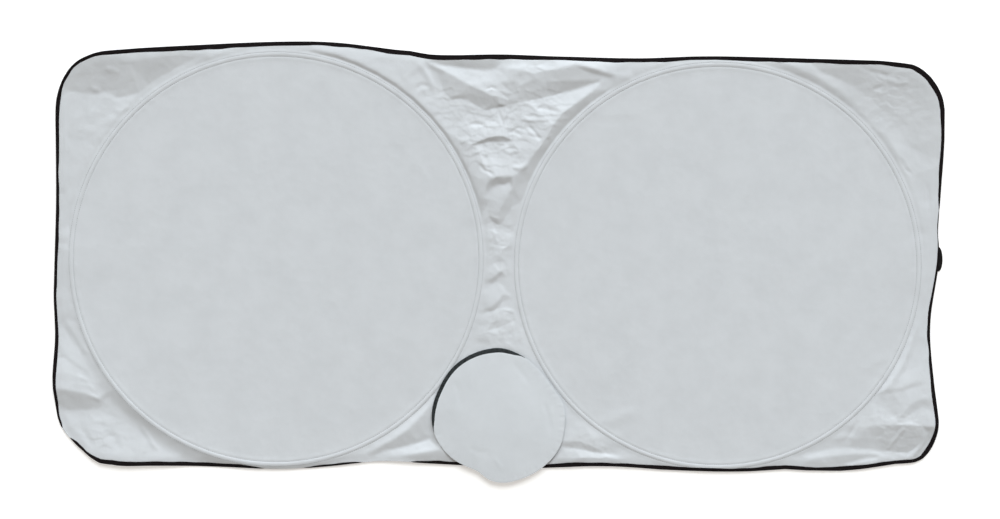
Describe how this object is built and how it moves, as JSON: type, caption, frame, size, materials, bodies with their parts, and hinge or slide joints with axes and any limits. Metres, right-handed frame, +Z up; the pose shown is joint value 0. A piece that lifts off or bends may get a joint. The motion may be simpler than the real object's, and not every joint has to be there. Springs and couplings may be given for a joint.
{
  "type": "car windscreen sunshade",
  "caption": "Folding windscreen sunshade of silver-coated cloth on two sprung wire rings, black bound edge, lying flat with its empty round storage pouch on it.",
  "frame": {"origin": "centre of the whole part's outline in plan, pouch and loop included, on the ground that it lies on", "axes": "+X along the shade's length towards the edge with the elastic loop, +Y across it towards the edge away from the pouch, +Z up from the ground, out of the silver face"},
  "size_m": [1.4516, 0.7148, 0.0181],
  "materials": {
    "silver_cloth": "silver-coated woven polyester, satin, finely creased",
    "casing_tape": "silver-coated woven polyester tape, satin",
    "black_tape": "matt woven polyester binding tape",
    "pouch_cloth": "silver-coated woven polyester, satin",
    "pouch_tape": "matt woven polyester binding tape",
    "elastic": "matt woven elastic",
    "spring_steel": "drawn spring-steel wire"
  },
  "bodies": {
    "root": {"shade_panel": "silver_cloth", "edge_binding": "black_tape", "left_ring_wire": "spring_steel", "right_ring_wire": "spring_steel", "left_ring_ferrule": "spring_steel", "right_ring_ferrule": "spring_steel", "left_ring_casing": "casing_tape", "right_ring_casing": "casing_tape", "elastic_loop": "elastic", "pouch_back": "pouch_cloth", "pouch_front": "pouch_cloth", "pouch_mouth_binding": "pouch_tape"}
  },
  "joints": []
}
